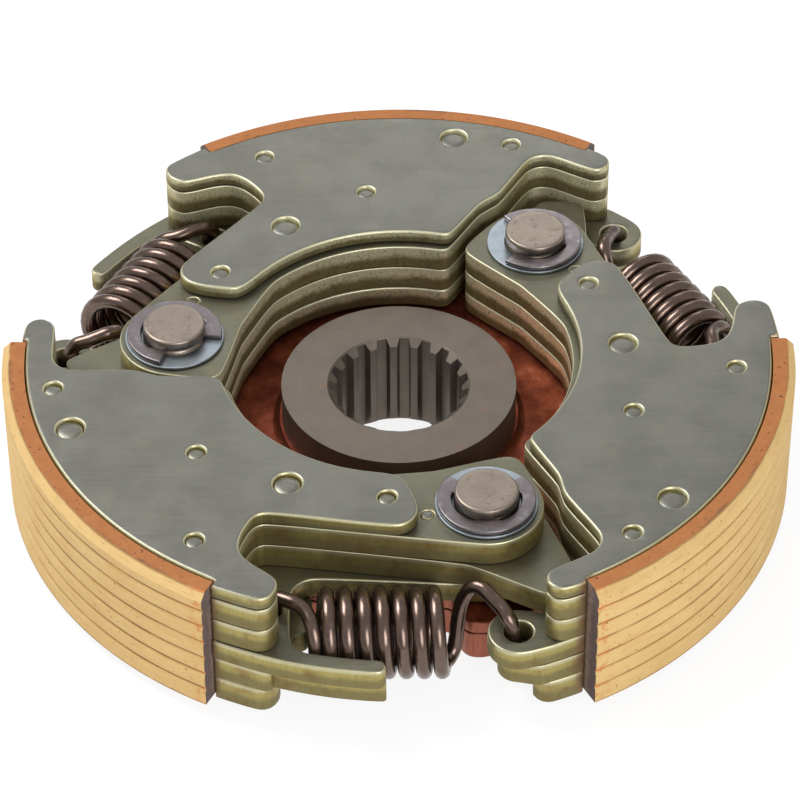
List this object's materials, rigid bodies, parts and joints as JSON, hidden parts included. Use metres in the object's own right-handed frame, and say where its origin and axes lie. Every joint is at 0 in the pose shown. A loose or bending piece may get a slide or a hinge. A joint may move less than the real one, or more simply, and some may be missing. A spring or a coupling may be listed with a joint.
{
  "type": "centrifugal clutch",
  "caption": "Centrifugal clutch with laminated, lined shoes on pivot pins, held in by coil springs round a splined hub; spun fast, the shoes swing out into a drum.",
  "frame": {"origin": "on the clutch axis, at the hub's back face", "axes": "+Z along the clutch axis, towards the clips and the hub's front face; the first return spring lies along X on the -Y side"},
  "size_m": [0.138, 0.1358, 0.0289],
  "materials": {
    "steel_top": "brushed, rubbed nearly bare",
    "zinc_yellow": "yellow passivated zinc",
    "hub_steel": "sintered and turned, satin",
    "copper": "steel with furnace-brazed copper skin",
    "spring_bronze": "oil-tempered dark bronze",
    "friction_lining": "matte moulded friction material",
    "pin_steel": "turned steel",
    "clip_steel": "bright stamped steel"
  },
  "bodies": {
    "carrier": {"hub": "hub_steel", "carrier_plate": "copper", "carrier_back_plate": "copper", "pivot_pin_1": "pin_steel", "pin_washer_1": "clip_steel", "retaining_clip_1": "clip_steel", "return_spring_1": "spring_bronze", "pivot_pin_2": "pin_steel", "pin_washer_2": "clip_steel", "retaining_clip_2": "clip_steel", "return_spring_2": "spring_bronze", "pivot_pin_3": "pin_steel", "pin_washer_3": "clip_steel", "retaining_clip_3": "clip_steel", "return_spring_3": "spring_bronze"},
    "shoe_1": {"shoe_1_top_plate": "steel_top", "shoe_1_upper_arm_plate": "zinc_yellow", "shoe_1_lower_arm_plate": "zinc_yellow", "shoe_1_spring_plate": "zinc_yellow", "shoe_1_guard_plate": "zinc_yellow", "shoe_1_bottom_plate": "zinc_yellow", "shoe_1_lining": "friction_lining", "shoe_1_rivet_1": "steel_top", "shoe_1_rivet_2": "steel_top", "shoe_1_rivet_3": "steel_top", "shoe_1_rivet_4": "steel_top", "shoe_1_rivet_5": "steel_top", "shoe_1_rivet_6": "steel_top", "shoe_1_rivet_7": "steel_top"},
    "shoe_2": {"shoe_2_top_plate": "steel_top", "shoe_2_upper_arm_plate": "zinc_yellow", "shoe_2_lower_arm_plate": "zinc_yellow", "shoe_2_spring_plate": "zinc_yellow", "shoe_2_guard_plate": "zinc_yellow", "shoe_2_bottom_plate": "zinc_yellow", "shoe_2_lining": "friction_lining", "shoe_2_rivet_1": "steel_top", "shoe_2_rivet_2": "steel_top", "shoe_2_rivet_3": "steel_top", "shoe_2_rivet_4": "steel_top", "shoe_2_rivet_5": "steel_top", "shoe_2_rivet_6": "steel_top", "shoe_2_rivet_7": "steel_top"},
    "shoe_3": {"shoe_3_top_plate": "steel_top", "shoe_3_upper_arm_plate": "zinc_yellow", "shoe_3_lower_arm_plate": "zinc_yellow", "shoe_3_spring_plate": "zinc_yellow", "shoe_3_guard_plate": "zinc_yellow", "shoe_3_bottom_plate": "zinc_yellow", "shoe_3_lining": "friction_lining", "shoe_3_rivet_1": "steel_top", "shoe_3_rivet_2": "steel_top", "shoe_3_rivet_3": "steel_top", "shoe_3_rivet_4": "steel_top", "shoe_3_rivet_5": "steel_top", "shoe_3_rivet_6": "steel_top", "shoe_3_rivet_7": "steel_top"}
  },
  "joints": [
    {"name": "shoe_1_pivot", "type": "hinge", "parent": "carrier", "child": "shoe_1", "pos_m": [0.01461, -0.03691, 0.02], "axis": [0, 0, 1], "range_deg": [0, 3], "stiffness_Nm_per_rad": 4, "springref_deg": -5.73, "deforming": ["return_spring_1", "return_spring_3"]},
    {"name": "shoe_2_pivot", "type": "hinge", "parent": "carrier", "child": "shoe_2", "pos_m": [0.02466, 0.03111, 0.02], "axis": [0, 0, 1], "range_deg": [0, 3], "stiffness_Nm_per_rad": 4, "springref_deg": -5.73, "deforming": ["return_spring_2", "return_spring_1"]},
    {"name": "shoe_3_pivot", "type": "hinge", "parent": "carrier", "child": "shoe_3", "pos_m": [-0.03927, 0.0058, 0.02], "axis": [0, 0, 1], "range_deg": [0, 3], "stiffness_Nm_per_rad": 4, "springref_deg": -5.73, "deforming": ["return_spring_3", "return_spring_2"]}
  ]
}
